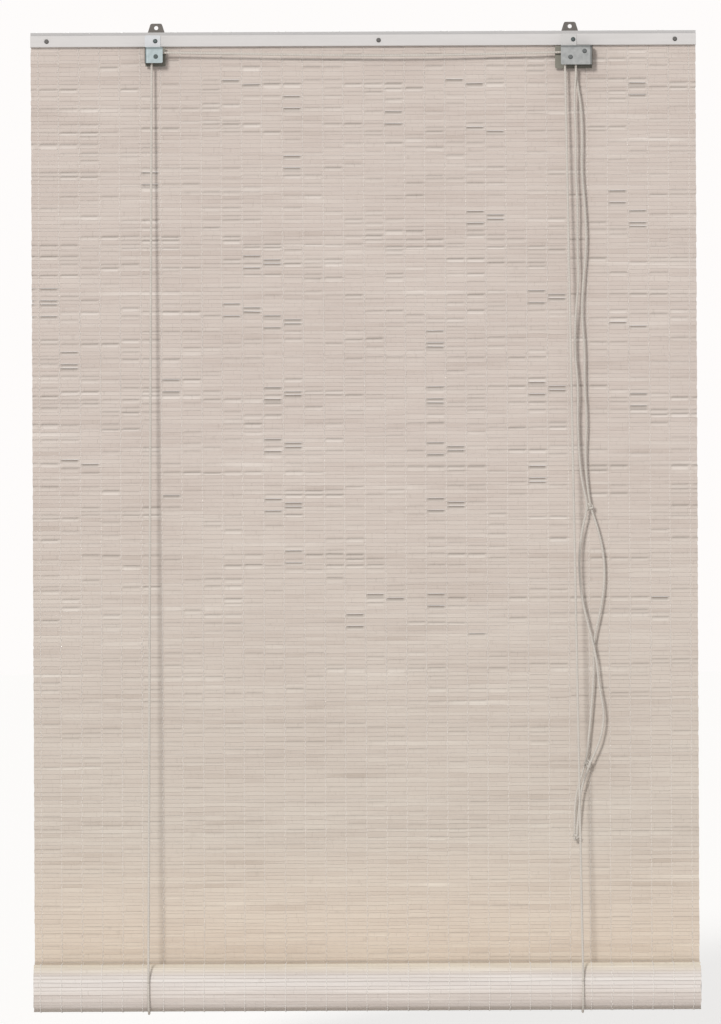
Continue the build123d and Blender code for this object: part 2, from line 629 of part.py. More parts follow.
# Free cords below the lock, both tied at two knots with an open loop between, and ending in one knot
# Each point is mm right of the cords' exit, behind the wheel's middle and above it
FRONT_HANK = (
    (0.0, -2.60, -24.5), (-1.6, -2.55, -41.5), (-2.3, -2.45, -68.5), (-0.5, -2.35, -106.5),
    (-1.4, -2.05, -152.5), (1.6, -1.95, -199.5), (0.6, -2.15, -251.5), (2.7, -2.05, -300.5),
    (-2.1, -1.75, -347.5), (-3.8, -1.95, -396.5), (1.2, -2.25, -443.5), (-0.2, -1.95, -490.5),
    (1.8, -1.75, -537.5), (5.6, -1.55, -574.5), (13.8, -1.35, -607.5), (5.0, -2.15, -638.5),
    (0.6, -2.95, -680.5), (3.8, -3.15, -727.5), (12.9, -2.75, -766.5), (23.4, -2.35, -806.5),
    (27.5, -1.95, -849.5), (35.0, -1.55, -887.5), (29.4, -1.35, -922.5), (14.2, -1.35, -954.5),
    (3.2, -1.65, -985.5), (-1.2, -1.35, -1020.5), (-3.8, -1.15, -1053.5),
)
REAR_HANK = (
    (0.0, 2.60, -23.5), (2.4, 2.65, -39.5), (6.4, 2.75, -64.5), (8.3, 3.05, -104.5),
    (6.9, 2.95, -149.5), (11.0, 3.25, -197.5), (13.4, 3.05, -250.5), (8.8, 3.15, -299.5),
    (6.0, 2.85, -344.5), (10.2, 3.05, -393.5), (9.6, 3.25, -442.5), (12.6, 2.95, -489.5),
    (10.0, 2.75, -536.5), (12.2, 2.65, -574.5), (16.8, 2.85, -607.5), (27.2, 3.65, -637.5),
    (35.2, 4.45, -673.5), (35.4, 4.65, -714.5), (29.0, 4.25, -752.5), (20.2, 3.65, -788.5),
    (20.8, 3.35, -830.5), (17.6, 3.25, -873.5), (13.6, 3.05, -916.5), (9.2, 2.85, -955.5),
    (-2.4, 3.05, -986.5), (-6.8, 2.85, -1020.5), (-5.8, 2.65, -1053.5),
)


def hank_route(groove_y, points):
    """The route of a pull cord: from where the lock's cord ends, down through the hank's points."""
    start = (EXIT_X, groove_y, LOCK_Z - CORD_EXIT - CORD_BUTT)
    return [start] + [(EXIT_X + x, WHEEL_Y + y, LOCK_Z + z) for x, y, z in points]


front_route = hank_route(LOCK_FRONT_CORD_Y, FRONT_HANK)
rear_route = hank_route(LOCK_REAR_CORD_Y, REAR_HANK)
front_line = routed(front_route, corner_radii(front_route))
rear_line = routed(rear_route, corner_radii(rear_route))
front_pull = cord_along(front_line)
rear_pull = cord_along(rear_line)
save(front_pull, "front_pull_cord")
save(rear_pull, "rear_pull_cord")
for name, line, tube in (("front", front_line, front_pull), ("rear", rear_line, rear_pull)):
    length = sum(edge.length for edge in line.edges())
    share = tube.volume / (pi * CORD_R * CORD_R * length)
    print(f"{name} pull cord {length:.0f} mm, volume {share:.4f} of section by length")


def cord_knot(at, radius):
    """A pulled-tight knot round both pull cords at one point of their routes, bored along them."""
    with BuildPart() as knot:
        with Locations((Vector(*front_route[at]) + Vector(*rear_route[at])) / 2):
            Sphere(radius)
        for line in (front_line, rear_line):
            add(cord_along(line, CORD_R + BORE_FIT), mode=Mode.SUBTRACT)
    return knot.part


save(cord_knot(UPPER_KNOT_AT, HANK_KNOT_R), "upper_knot")
save(cord_knot(LOWER_KNOT_AT, HANK_KNOT_R), "lower_knot")
save(cord_knot(END_KNOT_AT, END_KNOT_R), "end_knot")


# What holds the lift cords behind the rail
def anchor_knot(side):
    """The knot that stops a lift cord above its staple, flat where the cord's end meets it."""
    cut = RAIL_TOP - ANCHOR_DOWN + CORD_KNOT_R + CORD_BUTT
    with BuildPart() as knot:
        with Locations((side * ANCHOR_X, REAR_BACK_Y + CORD_KNOT_R, cut + CORD_KNOT_R / 2)):
            Sphere(CORD_KNOT_R)
        split(bisect_by=Plane.XY.offset(cut), keep=Keep.TOP)
    return knot.part


def cord_staple(side):
    """A wire staple driven into the rear lath over a lift cord."""
    half = CORD_R + CORD_STAPLE_WIRE_R
    z = RAIL_TOP - ANCHOR_DOWN
    crown_y = REAR_BACK_Y + CLEAR + 2 * CORD_R + BORE_FIT + CORD_STAPLE_WIRE_R
    tip_y = REAR_BACK_Y - CORD_STAPLE_LEG
    with BuildLine() as wire:
        Line((side * ANCHOR_X - half, tip_y, z), (side * ANCHOR_X - half, crown_y - half, z))
        ThreePointArc(
            (side * ANCHOR_X - half, crown_y - half, z), (side * ANCHOR_X, crown_y, z),
            (side * ANCHOR_X + half, crown_y - half, z),
        )
        Line((side * ANCHOR_X + half, crown_y - half, z), (side * ANCHOR_X + half, tip_y, z))
    return cord_along(wire.line, CORD_STAPLE_WIRE_R)


for side, word in ((-1, "left"), (1, "right")):
    save(anchor_knot(side), f"{word}_anchor_knot")
    save(cord_staple(side), f"{word}_cord_staple")
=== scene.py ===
# %% [markdown]
# # A bamboo roll up blind
# The blind hangs from two steel ears on a white painted rail. A mat of whitewashed split bamboo hangs
# from the rail, and what is left of it is wound round a rod at the bottom. Two cords carry the roll, and
# both run to a cord lock on the right. The CAD model gives the solids; this script gives them their
# slats, yarns, cords and finishes.

import json
from math import pi, radians

import bpy
import numpy as np
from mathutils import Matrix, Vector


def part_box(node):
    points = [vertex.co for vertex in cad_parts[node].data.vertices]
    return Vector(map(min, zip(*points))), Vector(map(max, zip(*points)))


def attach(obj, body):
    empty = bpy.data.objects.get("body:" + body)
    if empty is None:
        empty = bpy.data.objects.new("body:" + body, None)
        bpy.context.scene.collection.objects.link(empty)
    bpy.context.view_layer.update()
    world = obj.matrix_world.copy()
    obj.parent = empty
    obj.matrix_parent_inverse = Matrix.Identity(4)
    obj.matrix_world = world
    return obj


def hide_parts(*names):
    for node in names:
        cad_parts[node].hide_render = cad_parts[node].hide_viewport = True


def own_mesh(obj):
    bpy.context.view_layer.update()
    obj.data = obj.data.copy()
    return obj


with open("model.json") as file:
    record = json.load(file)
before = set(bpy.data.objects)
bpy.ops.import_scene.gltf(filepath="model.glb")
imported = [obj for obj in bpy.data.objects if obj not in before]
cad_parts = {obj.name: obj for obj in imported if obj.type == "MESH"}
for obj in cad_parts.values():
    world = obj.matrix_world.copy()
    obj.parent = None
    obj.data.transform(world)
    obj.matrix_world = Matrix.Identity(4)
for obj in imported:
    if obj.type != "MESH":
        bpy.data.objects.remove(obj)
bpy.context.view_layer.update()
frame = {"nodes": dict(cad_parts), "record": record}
rng = np.random.default_rng(11)
print("CAD nodes:", len(frame["nodes"]))

# %% [markdown]
# ## Places from the CAD model
# The dressed blind has to hang where the CAD model hangs, so the mat's size, the roll's middle and its
# travel are read from the model and not typed in again. All lengths are in metres, as everywhere below.

# %% Places
def box_of(node):
    """A node's lowest and highest corners at rest, to a thousandth of a millimetre."""
    return np.round(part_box(node), 6)


mat_low, mat_high = box_of("hanging_mat")
HALF_WIDTH = mat_high[0]
MAT_BOTTOM, MAT_TOP = mat_low[2], mat_high[2]
MAT_Y = round((mat_low[1] + mat_high[1]) / 2, 6)
SLAT_THICK = round(mat_high[1] - mat_low[1], 6)
joints = {joint["name"]: joint for joint in frame["record"]["behaviour"]["joints"]}
ROLL = np.round(joints["roll_turn"]["pos_m"], 6)
TRAVEL = joints["roll_lift"]["range_m"][1]
print(f"mat {2 * HALF_WIDTH:.3f} by {MAT_TOP - MAT_BOTTOM:.4f} m, roll rises {TRAVEL} m")

# %% [markdown]
# ## The camera
# The photograph was taken square on from several metres away, so lines that run away from the eye hardly
# draw together. A long lens at twelve metres gives the same look. The picture is a quarter of a degree
# out of level.

# %% Camera
PIXEL = 0.001353            # metres on the mat for one pixel of the 721 by 1024 picture
PICTURE_TALL = 1024
DISTANCE = 12.0
SENSOR = 36.0
AIM = (-0.0063, -0.6566)    # X and Z of the picture's middle
OUT_OF_LEVEL = 0.26         # degrees

camera_data = bpy.data.cameras.new("camera")
camera_data.sensor_width = SENSOR
camera_data.lens = SENSOR * DISTANCE / (PICTURE_TALL * PIXEL)
camera = bpy.data.objects.new("camera", camera_data)
camera.location = (AIM[0], MAT_Y - DISTANCE, AIM[1])
camera.rotation_euler = (radians(90), radians(OUT_OF_LEVEL), 0)
bpy.context.scene.collection.objects.link(camera)
bpy.context.scene.camera = camera
print(f"lens {camera_data.lens:.1f} mm")

# %% [markdown]
# ## From arrays to a mesh
# Slats, yarns and cords are all long shapes with a closed section. So one function turns a grid of points
# into a skin: the grid's first axis counts the shapes, the second runs along each one, and the third goes
# round it.

# %% Faces and volume
def tube_faces(count, along, around, ring=False):
    """Faces of shapes on a grid: each joins point j of one section to point j + 1 and to the next section.

    Open shapes get one flat face at each end; a ring joins its last section to its first.
    """
    index = np.arange(count * along * around).reshape(count, along, around)
    here, there = (index, np.roll(index, -1, axis=1)) if ring else (index[:, :-1], index[:, 1:])
    sides = np.stack([here, there, np.roll(there, -1, axis=2), np.roll(here, -1, axis=2)], axis=-1)
    groups = [sides.reshape(-1, 4)]
    if not ring:
        groups += [index[:, 0], index[:, -1, ::-1]]
    return groups


def solid_volume(points, groups):
    """Signed volume: a sixth of the triple product of each fan triangle's corners, added up."""
    total = 0.0
    for group in groups:
        first = points[group[:, 0]]
        for k in range(1, group.shape[1] - 1):
            total += np.einsum("ij,ij->", first, np.cross(points[group[:, k]], points[group[:, k + 1]])) / 6
    return total

# %% Skin
triangles = {}


def skin(name, grid, ring=False, smooth=True, values=None, corner_values=None):
    """Make a mesh object at the origin from a grid of points, with its faces turned outwards.

    values holds one number a point, and corner_values one number for each corner of the side faces.
    """
    points = grid.reshape(-1, 3)
    groups = tube_faces(*grid.shape[:3], ring=ring)
    inside_out = solid_volume(points, groups) < 0
    if inside_out:
        groups = [group[:, ::-1] for group in groups]
    corners = np.concatenate([group.ravel() for group in groups])
    sizes = np.concatenate([np.full(len(group), group.shape[1]) for group in groups])
    mesh = bpy.data.meshes.new(name)
    mesh.vertices.add(len(points))
    mesh.vertices.foreach_set("co", points.astype(np.float32).ravel())
    mesh.loops.add(len(corners))
    mesh.loops.foreach_set("vertex_index", corners.astype(np.int32))
    mesh.polygons.add(len(sizes))
    mesh.polygons.foreach_set("loop_start", (np.cumsum(sizes) - sizes).astype(np.int32))
    flat_ends = np.arange(len(sizes)) >= len(groups[0])
    mesh.polygons.foreach_set("use_smooth", ~flat_ends & smooth)
    mesh.update(calc_edges=True)
    for key, numbers in (values or {}).items():
        field = mesh.attributes.new(key, "FLOAT", "POINT")
        field.data.foreach_set("value", numbers.astype(np.float32).ravel())
    for key, numbers in (corner_values or {}).items():
        side = numbers[:, ::-1] if inside_out else numbers
        whole = np.zeros(len(corners), np.float32)
        whole[: side.size] = side.ravel()
        mesh.attributes.new(key, "FLOAT", "CORNER").data.foreach_set("value", whole)
    piece = bpy.data.objects.new(name, mesh)
    bpy.context.scene.collection.objects.link(piece)
    mesh.calc_loop_triangles()
    triangles[name] = len(mesh.loop_triangles)
    return piece

# %% [markdown]
# ## Finishes as sums
# A finish is a small network of nodes, but it reads better as arithmetic. The class below wraps one
# output socket, so that `1 - mask` or `wave * 0.2` adds the Math node that works it out. Two methods make
# masks: near marks a line, and past marks what lies beyond one. Every other node comes from one method.

# %% A number that varies over a surface
class Signal:
    """An output socket that sums and products can be made with."""

    def __init__(self, nodes, socket):
        self.nodes, self.socket = nodes, socket

    def join(self, operation, *others):
        """A Math node with this signal and the others on its inputs, in order."""
        return self.nodes.node("ShaderNodeMath", {"operation": operation}, dict(enumerate([self, *others])))

    def __add__(self, other):
        return self.join("ADD", other)

    def __radd__(self, other):
        return self.join("ADD", other)

    def __mul__(self, other):
        return self.join("MULTIPLY", other)

    def __rmul__(self, other):
        return self.join("MULTIPLY", other)

    def __sub__(self, other):
        return self.join("SUBTRACT", other)

    def __rsub__(self, other):
        return self.nodes.node("ShaderNodeMath", {"operation": "SUBTRACT"}, {0: other, 1: self})

    def near(self, middle, reach):
        """1 where the signal is at the middle, falling evenly to 0 at the reach on both sides."""
        return 1 - ((self - middle).join("ABSOLUTE") * (1 / reach)).join("MINIMUM", 1.0)

    def past(self, start, full):
        """0 up to the start, then rising evenly to 1 at full, which may lie on either side of it."""
        return ((self - start) * (1 / (full - start))).join("MAXIMUM", 0.0).join("MINIMUM", 1.0)

# %% Trees of nodes
class Nodes:
    """A tree of shader nodes."""

    def __init__(self, tree):
        self.tree = tree

    def node(self, kind, settings=None, inputs=None, output=0):
        """Add a node: its settings first, then values or links for its sockets, by name or number."""
        made = self.tree.nodes.new(kind)
        for key, value in (settings or {}).items():
            if key == "stops":
                elements = made.color_ramp.elements
                for spot, (place, colour) in enumerate(value):
                    stop = elements[spot] if spot < 2 else elements.new(place)
                    stop.position = place
                    stop.color = (*colour, 1)
            else:
                setattr(made, key, value)
        for key, value in (inputs or {}).items():
            if isinstance(value, Signal):
                self.tree.links.new(value.socket, made.inputs[key])
            else:
                made.inputs[key].default_value = value
        return Signal(self, made.outputs[output])

    def looked_at(self):
        """1 for what the camera sees, straight or in metal and glass, and 0 for light on other surfaces."""
        rays = [f"Is {kind} Ray" for kind in ("Camera", "Glossy", "Transmission")]
        seen, *others = [self.node("ShaderNodeLightPath", output=ray) for ray in rays]
        for other in others:
            seen = seen.join("MAXIMUM", other)
        return seen


class Finish(Nodes):
    """A material with one Principled shader, whose even values are set on its own sockets."""

    def __init__(self, name, colour, roughness, metallic=0.0, specular=0.5):
        self.material = bpy.data.materials.new(name)
        self.material.use_nodes = True
        self.material.diffuse_color = (*colour, 1)
        super().__init__(self.material.node_tree)
        self.shader = next(n for n in self.tree.nodes if n.type == "BSDF_PRINCIPLED")
        self.shader.inputs["Base Color"].default_value = (*colour, 1)
        self.shader.inputs["Roughness"].default_value = roughness
        self.shader.inputs["Metallic"].default_value = metallic
        self.shader.inputs["Specular IOR Level"].default_value = specular

    def feed(self, socket, signal):
        """Link a signal to one of the shader's sockets that may vary."""
        self.tree.links.new(signal.socket, self.shader.inputs[socket])

    def places(self, stretch=(1, 1, 1), shift=(0, 0, 0)):
        """Object coordinates, in metres, stretched along each axis and then shifted."""
        spots = self.node("ShaderNodeTexCoord", output="Object")
        inputs = {"Vector": spots, "Location": shift, "Scale": stretch}
        return self.node("ShaderNodeMapping", inputs=inputs)

    def axis(self, letter):
        """One Object coordinate, in metres."""
        return self.node("ShaderNodeSeparateXYZ", inputs={0: self.places()}, output=letter)

    def noise(self, stretch, detail=3.0, rough=0.55):
        """Cloudy noise from 0 to 1, with as many blotches in a metre along each axis as stretch says."""
        return self.node(
            "ShaderNodeTexNoise", {"noise_dimensions": "3D"},
            {"Vector": self.places(stretch), "Scale": 1.0, "Detail": detail, "Roughness": rough},
        )

    def value(self, name):
        """A number stored on the mesh."""
        return self.node("ShaderNodeAttribute", {"attribute_name": name}, output="Fac")

    def ramp(self, signal, *stops):
        """Colour from a number, by (place, colour) stops."""
        return self.node("ShaderNodeValToRGB", {"stops": stops}, {"Fac": signal})

    def mixed(self, share, one, other, blend="MIX"):
        """Two colours mixed by a share from 0 to 1."""
        colours = [c if isinstance(c, Signal) else (*c, 1) for c in (one, other)]
        settings = {"data_type": "RGBA", "blend_type": blend, "clamp_factor": True}
        return self.node("ShaderNodeMix", settings, {0: share, 6: colours[0], 7: colours[1]}, output=2)

    def times(self, share, colour, factor):
        """A colour multiplied by another one, by a share from 0 to 1."""
        return self.mixed(share, colour, factor, "MULTIPLY")

    def relief(self, height, depth, strength=1.0):
        """Bump from a height signal, depth in metres from 0 to 1."""
        inputs = {"Height": height, "Distance": depth, "Strength": strength}
        self.feed("Normal", self.node("ShaderNodeBump", inputs=inputs, output="Normal"))


def dress(piece, finish, body="root"):
    """Give a new piece its finish and the body that carries it."""
    piece.data.materials.append(finish.material)
    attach(piece, body)
    return piece

# %% [markdown]
# ## Cotton cord
# The cords are braided cotton, 3 mm thick. Modelled strands would cost far more than they show, so the
# braid is relief: two sets of waves that cross make fine diamonds. They follow the cord because each
# corner of the mesh knows how far along and how far round it is.

# %% Cord finish
def cord_finish(name, colour, strands=4, pitch=0.007):
    """Relief is the product of two waves, for the strands that turn left and for those that turn right."""
    finish = Finish(name, colour, 0.85, specular=0.25)
    along = finish.value("along") * (2 * pi / pitch)
    around = finish.value("around") * (2 * pi * strands)
    left = (along + around).join("SINE")
    right = (along - around).join("SINE")
    weave = left * right
    worn = finish.noise((60, 60, 25), 4.0)
    deep = [c * 0.84 for c in colour]
    bright = [c * 1.08 for c in colour]
    # painted shade and highlight: the colour follows the braid's weave, as the relief does; worn adds real
    # wear
    finish.feed("Base Color", finish.mixed(weave * 0.35 + worn * 0.9, deep, bright))
    finish.relief(weave + worn * 0.4, 0.0003, 0.8)
    return finish


cotton = cord_finish("cotton cord", (0.67, 0.63, 0.575))

# %% [markdown]
# ## The pull cords
# Two cords leave the lock and hang down the right side. They are tied together at two knots with an open
# loop between, cross under the first knot, and end in one small knot. Each cord is a NURBS spline whose
# control points are those of the CAD route. The tube is carried along the line that Blender gives for the
# spline.

# %% Carry a section along a line
def spline_line(points):
    """Points along a smooth cord: a NURBS spline of order 3 from its first control point to its last."""
    curve = bpy.data.curves.new("route", "CURVE")
    curve.dimensions = "3D"
    curve.resolution_u = 12
    spline = curve.splines.new("NURBS")
    spline.points.add(len(points) - 1)
    spline.points.foreach_set("co", np.c_[np.array(points), np.ones(len(points))].ravel())
    spline.order_u = 3
    spline.use_endpoint_u = True
    holder = bpy.data.objects.new("route", curve)
    mesh = bpy.data.meshes.new_from_object(holder)
    line = np.empty(len(mesh.vertices) * 3)
    mesh.vertices.foreach_get("co", line)
    bpy.data.objects.remove(holder)
    bpy.data.curves.remove(curve)
    bpy.data.meshes.remove(mesh)
    return line.reshape(-1, 3)


def distances(line):
    """How far along the line each point is: the steps between neighbouring points, added up."""
    return np.r_[0, np.cumsum(np.linalg.norm(np.diff(line, axis=0), axis=1))]


def evenly(line, step):
    """The same line with its points an even step apart."""
    so_far = distances(line)
    at = np.linspace(0, so_far[-1], max(3, round(so_far[-1] / step)))
    return np.stack([np.interp(at, so_far, line[:, k]) for k in range(3)], axis=-1)


def carried(line, radius, sides, across):
    """A circle round each point, square to the line: the point plus radius times (a cos t + b sin t).

    a is the line's direction crossed with the one called across, and b is a crossed with the direction.
    """
    ahead = np.gradient(line, axis=0)
    ahead /= np.linalg.norm(ahead, axis=1, keepdims=True)
    a = np.cross(ahead, across)
    a /= np.linalg.norm(a, axis=1, keepdims=True)
    b = np.cross(a, ahead)
    t = np.arange(sides) * 2 * pi / sides
    return line[:, None] + radius * (a[:, None] * np.cos(t)[:, None] + b[:, None] * np.sin(t)[:, None])


def cord_corners(line, sides):
    """How far along (metres) and round (turns) each side face's four corners are."""
    so_far = distances(line)
    j, i = np.meshgrid(np.arange(sides), np.arange(len(line) - 1))
    around = np.stack([j, j, j + 1, j + 1], axis=-1).reshape(-1, 4) / sides
    along = np.stack([so_far[i], so_far[i + 1], so_far[i + 1], so_far[i]], axis=-1).reshape(-1, 4)
    return {"along": along, "around": around}


CORD_R = 0.0015
CORD_SIDES = 10


def braided(name, line, body="root", across=(0, 1, 0), step=0.003):
    """A cord piece along a line."""
    line = evenly(line, step)
    grid = carried(line, CORD_R, CORD_SIDES, across)
    piece = skin(name, grid[None], corner_values=cord_corners(line, CORD_SIDES))
    return dress(piece, cotton, body)


# %% Pull cord routes
LOCK_EXIT = (0.2874, -0.03025, -0.0435)


def below_lock(points):
    """Route points, given in mm from the lock wheel's exit, as places in metres."""
    return np.array(LOCK_EXIT) + np.array(points) / 1000


front_route = below_lock([
    (0.0, -2.60, -13.6),
    (0.0, -2.60, -24.5), (-1.6, -2.55, -41.5), (-2.3, -2.45, -68.5), (-0.5, -2.35, -106.5),
    (-1.4, -2.05, -152.5), (1.6, -1.95, -199.5), (0.6, -2.15, -251.5), (2.7, -2.05, -300.5),
    (-2.1, -1.75, -347.5), (-3.8, -1.95, -396.5), (1.2, -2.25, -443.5), (-0.2, -1.95, -490.5),
    (1.8, -1.75, -537.5), (5.6, -1.55, -574.5), (13.8, -1.35, -607.5), (5.0, -2.15, -638.5),
    (0.6, -2.95, -680.5), (3.8, -3.15, -727.5), (12.9, -2.75, -766.5), (23.4, -2.35, -806.5),
    (27.5, -1.95, -849.5), (35.0, -1.55, -887.5), (29.4, -1.35, -922.5), (14.2, -1.35, -954.5),
    (3.2, -1.65, -985.5), (-1.2, -1.35, -1020.5), (-3.8, -1.15, -1053.5),
])
rear_route = below_lock([
    (0.0, 2.60, -13.6),
    (0.0, 2.60, -23.5), (2.4, 2.65, -39.5), (6.4, 2.75, -64.5), (8.3, 3.05, -104.5),
    (6.9, 2.95, -149.5), (11.0, 3.25, -197.5), (13.4, 3.05, -250.5), (8.8, 3.15, -299.5),
    (6.0, 2.85, -344.5), (10.2, 3.05, -393.5), (9.6, 3.25, -442.5), (12.6, 2.95, -489.5),
    (10.0, 2.75, -536.5), (12.2, 2.65, -574.5), (16.8, 2.85, -607.5), (27.2, 3.65, -637.5),
    (35.2, 4.45, -673.5), (35.4, 4.65, -714.5), (29.0, 4.25, -752.5), (20.2, 3.65, -788.5),
    (20.8, 3.35, -830.5), (17.6, 3.25, -873.5), (13.6, 3.05, -916.5), (9.2, 2.85, -955.5),
    (-2.4, 3.05, -986.5), (-6.8, 2.85, -1020.5), (-5.8, 2.65, -1053.5),
])
front_line = spline_line(front_route)
rear_line = spline_line(rear_route)
front_pull = braided("front_pull_braid", front_line)
rear_pull = braided("rear_pull_braid", rear_line)
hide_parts("front_pull_cord")
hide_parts("rear_pull_cord")
print(f"pull cords {distances(front_line)[-1]:.3f} m and {distances(rear_line)[-1]:.3f} m")

# %% [markdown]
# ## Knots
# A pulled-tight overhand knot looks like a small trefoil: the cord goes three times over and under itself
# while it goes twice round. A ball would do from afar, but the loops show in the photograph. The
# trefoil's formula gives the line, and the cord's own section is carried along it.

# %% Knots
LOOP_POINTS = 72
KNOT_SIZE = 0.00155


def overhand(node, name, centre, size=KNOT_SIZE, radius=CORD_R, turn=0.0, deep=1.35):
    """x = sin t + 2 sin 2t, z = cos t - 2 cos 2t, y = -deep sin 3t, each times size, turned about Y."""
    t = np.linspace(0, 2 * pi, LOOP_POINTS + 1)[:-1]
    x = np.sin(t) + 2 * np.sin(2 * t)
    z = np.cos(t) - 2 * np.cos(2 * t)
    line = np.stack([x, -deep * np.sin(3 * t), z], axis=-1) * size
    c, s = np.cos(turn), np.sin(turn)
    line = line @ np.array([[c, 0, s], [0, 1, 0], [-s, 0, c]]).T + np.array(centre)
    closed = np.concatenate([line[-1:], line, line[:1]])
    grid = carried(closed, radius, CORD_SIDES, (0.05, 1, 0.03))[1:-1]
    corners = cord_corners(np.r_[line, line[:1]], CORD_SIDES)
    piece = skin(name, grid[None], ring=True, corner_values=corners)
    dress(piece, cotton)
    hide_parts(node)
    return piece


def between(index):
    """The point midway between the two routes at one of their control points."""
    return (front_route[index] + rear_route[index]) / 2


upper_knot = overhand("upper_knot", "upper_knot_loops", between(15), turn=0.4)
lower_knot = overhand("lower_knot", "lower_knot_loops", between(24), turn=-0.7)
end_knot = overhand("end_knot", "end_knot_loops", between(27), size=0.00125, radius=0.001425, turn=0.2)

# %% [markdown]
# ## The cords that carry the roll
# Each lift cord hangs taut from its wheel, runs under the roll and goes up behind the mat to a staple. A
# taut run is a straight line, and the part under the roll is an arc round the roll's middle. One more
# cord crosses from the left wheel to the lock, and a short one goes over the lock's own wheel.

# %% Lift cords
SLING_R = 0.036
RISE = radians(12)          # how far above the roll's middle the sling starts in front
SLING_X = {"left": -0.2945, "right": 0.2905}
WHEEL_TOP = {"left": (-0.2857, -0.03025, -0.0419), "right": (0.2726, -0.03285, -0.0449)}
ANCHOR = (0.306, 0.00105, -0.0125)          # the staple behind the rail, on the right
CLEAR = (0, 0, 0.0003)                      # the runs stop short of the sling's ends
KNOT_ABOVE = (0, 0.0014, 0.002)


def sling_line(x, count=60):
    """An arc of radius R round the roll: y = -R cos a, z = R sin a, from the front down to the rear."""
    a = np.linspace(RISE, -pi, count)
    return ROLL + np.stack([np.full(count, x), -SLING_R * np.cos(a), SLING_R * np.sin(a)], axis=-1)


for side, x in SLING_X.items():
    arc = sling_line(x)
    sling = braided(f"{side}_sling_braid", arc, "cord_sling", across=(1, 0, 0))
    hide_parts(f"{side}_cord_sling")
    lift = braided(f"{side}_lift_braid", np.array([WHEEL_TOP[side], arc[0] + CLEAR]))
    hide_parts(f"{side}_lift_cord")
    anchor = np.array([ANCHOR[0] * np.sign(x), *ANCHOR[1:]])
    rear = braided(f"{side}_rear_braid", np.array([anchor, arc[-1] + CLEAR]))
    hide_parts(f"{side}_rear_cord")
    overhand(
        f"{side}_anchor_knot", f"{side}_anchor_loops", anchor + KNOT_ABOVE,
        size=0.00085, radius=0.0011, turn=0.3, deep=1.08,
    )

cross_route = [
    (-0.2857, -0.03025, -0.0420), (-0.2857, -0.03025, -0.0346), (-0.266, -0.03017, -0.0350),
    (0.040, -0.02895, -0.0413), (0.262, -0.0278, -0.0368), (0.2874, -0.02765, -0.0359),
    (0.2874, -0.02765, -0.0480), (0.2874, -0.02765, -0.0570),
]
cross = braided("cross_braid", spline_line(cross_route))
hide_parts("cross_cord")
over_lock_route = [
    (0.2726, -0.03285, -0.0450), (0.2726, -0.03285, -0.0361), (0.2874, -0.03285, -0.0361),
    (0.2874, -0.03285, -0.0480), (0.2874, -0.03285, -0.0570),
]
over_lock = braided("over_lock_braid", spline_line(over_lock_route), step=0.0012)
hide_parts("lock_cord")

# %% [markdown]
# ## Bamboo slats
# Split bamboo is never even: each slat has its own height, thickness, lean and tone, and it wavers along
# its length. One sheet with a pattern of stripes would look printed, so the mat is worked out slat by
# slat, as whole arrays. The line between two slats is shared by both, which keeps them from cutting into
# each other, and a gap is opened on it where the slats have spread apart. Their colour changes a little
# with height: the mat is warmer lower down, and near the roll it carries painted light and painted shade.
# Painted shade, in the bare wood colour, also darkens some lines between slats and the slits.

# %% Whitewashed bamboo
# the bare wood colour: the cane's joints, and painted shade along lines between slats and in the slits
BARE_WOOD_AND_SHADE = (0.19, 0.156, 0.128)
# heights between which each change of colour sets in
WARMER = (-0.5357, -1.25)                   # on the hanging mat, lower down
# painted light on the hanging mat just above the roll, and painted shade where it meets the roll
PALER = (-1.09, -1.24385)                   # on the hanging mat, just above the roll
IN_SHADE = (-1.2613, -1.26352)              # on the hanging mat, where it meets the roll
# on the roll: a painted highlight band, painted light on its upper shoulder, painted shade in its crease and
# along its underside
ROLL_HIGHLIGHT = -1.2905                         # the roll's palest band
LIT_SHOULDER = (ROLL_HIGHLIGHT + 0.0115, ROLL_HIGHLIGHT + 0.0226)
CREASE_SHADE = (ROLL_HIGHLIGHT + 0.0245, ROLL_HIGHLIGHT + 0.02617)
UNDERSIDE_SHADE = (ROLL_HIGHLIGHT - 0.0320, ROLL_HIGHLIGHT - 0.0345)


